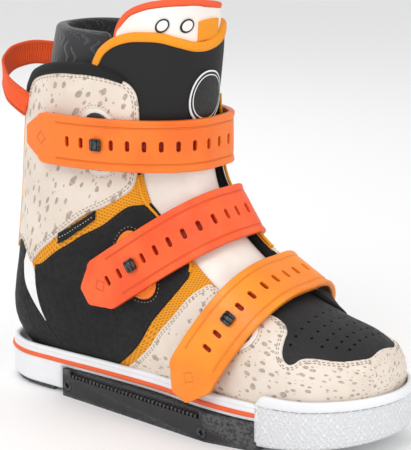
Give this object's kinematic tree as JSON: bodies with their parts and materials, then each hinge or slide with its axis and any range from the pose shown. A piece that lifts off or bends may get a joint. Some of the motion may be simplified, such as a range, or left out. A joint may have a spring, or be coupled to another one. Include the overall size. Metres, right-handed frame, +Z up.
{
  "type": "strapped riding boot",
  "caption": "Panelled ankle-high riding boot for the right foot, with a railed cupsole, padded liner, fold-down shin flap and rubber straps on hook posts.",
  "frame": {"origin": "on the flat underside of the base plate, below the ankle's middle, where the boot stands on its board", "axes": "+X towards the toe, -Y to the outer side of the right foot, +Z up along the shaft"},
  "size_m": [0.3192, 0.1197, 0.2791],
  "materials": {
    "black_rubber": "moulded rubber",
    "black_synthetic": "satin black coated synthetic",
    "cream_leather": "smooth coated leather with a fine brown speckle",
    "dark_plastic": "moulded nylon",
    "dark_steel": "blackened steel",
    "foam": "moulded foam",
    "liner_fabric": "quilted lining fabric over foam",
    "mesh": "woven spacer mesh",
    "strap_amber": "moulded rubber",
    "strap_orange": "moulded rubber",
    "trim_fabric": "woven binding and webbing",
    "white_fabric": "padded fabric",
    "white_plastic": "moulded soft plastic",
    "white_rubber": "smooth moulded rubber"
  },
  "bodies": {
    "boot": {"midsole": "foam", "sole_cup": "white_rubber", "base_plate": "dark_plastic", "heel_tread": "black_rubber", "lateral_rail_screw_rear": "dark_steel", "lateral_rail_screw_front": "dark_steel", "lateral_rail": "dark_plastic", "medial_rail_screw_rear": "dark_steel", "medial_rail_screw_front": "dark_steel", "medial_rail": "dark_plastic", "toe_bumper": "white_rubber", "sole_stripe": "strap_orange", "cuff_lateral": "cream_leather", "cuff_medial": "black_synthetic", "mesh_band_lateral": "mesh", "mesh_band_medial": "mesh", "quarter_lateral": "black_synthetic", "quarter_medial": "black_synthetic", "flash_lateral": "white_plastic", "flash_medial": "white_plastic", "mesh_gusset_lateral": "mesh", "mesh_gusset_medial": "mesh", "cuff_rim": "black_synthetic", "heel_counter": "black_synthetic", "toe_vamp": "black_synthetic", "forefoot": "cream_leather", "tongue": "cream_leather", "shin_flap_base": "black_synthetic", "liner_lateral": "liner_fabric", "liner_medial": "liner_fabric", "footbed": "foam", "upper_strap": "strap_orange", "upper_hook_plate_lateral": "dark_plastic", "upper_hook_lateral": "dark_plastic", "upper_hook_plate_medial": "dark_plastic", "upper_hook_medial": "dark_plastic", "middle_strap": "strap_orange", "middle_hook_plate_lateral": "dark_plastic", "middle_hook_lateral": "dark_plastic", "middle_hook_plate_medial": "dark_plastic", "middle_hook_medial": "dark_plastic", "lower_strap": "strap_amber", "lower_hook_plate_lateral": "dark_plastic", "lower_hook_lateral": "dark_plastic", "lower_hook_plate_medial": "dark_plastic", "lower_hook_medial": "dark_plastic", "badge": "white_plastic"},
    "upper_tail": {"upper_strap_tail": "strap_orange"},
    "middle_tail": {"middle_strap_tail": "strap_orange"},
    "lower_tail": {"lower_strap_tail": "strap_amber"},
    "flap": {"shin_flap": "black_synthetic", "shin_flap_binding": "trim_fabric"},
    "liner_tongue_body": {"liner_tongue": "white_fabric", "liner_tongue_binding": "trim_fabric"},
    "loop": {"pull_loop": "trim_fabric"}
  },
  "joints": [
    {"name": "upper_strap_release", "type": "hinge", "parent": "boot", "child": "upper_tail", "pos_m": [-0.00449, -0.03536, 0.1825], "axis": [0, 0, 1], "range_deg": [0, 80], "stiffness_Nm_per_rad": 0.03},
    {"name": "middle_strap_release", "type": "hinge", "parent": "boot", "child": "middle_tail", "pos_m": [0.0188, -0.02824, 0.13142], "axis": [-0.5736, 0, 0.8191], "range_deg": [0, 80], "stiffness_Nm_per_rad": 0.03},
    {"name": "lower_strap_release", "type": "hinge", "parent": "boot", "child": "lower_tail", "pos_m": [0.07004, -0.02269, 0.10051], "axis": [-0.8829, 0, 0.4695], "range_deg": [0, 80], "stiffness_Nm_per_rad": 0.03},
    {"name": "flap_fold", "type": "hinge", "parent": "boot", "child": "flap", "pos_m": [0.012, 0, 0.2212], "axis": [0, 1, 0], "range_deg": [0, 30], "stiffness_Nm_per_rad": 1},
    {"name": "liner_tongue_fold", "type": "hinge", "parent": "boot", "child": "liner_tongue_body", "pos_m": [0.012, 0, 0.2212], "axis": [0, 1, 0], "range_deg": [0, 30], "stiffness_Nm_per_rad": 1},
    {"name": "pull_loop_swing", "type": "hinge", "parent": "boot", "child": "loop", "pos_m": [-0.1225, -0.0005, 0.2095], "axis": [-0.0429, 0.9573, 0.2858], "range_deg": [-20, 6], "stiffness_Nm_per_rad": 0.08}
  ],
  "couplings": [
    {"joint": "liner_tongue_fold", "follows": "flap_fold", "ratio": 1}
  ]
}
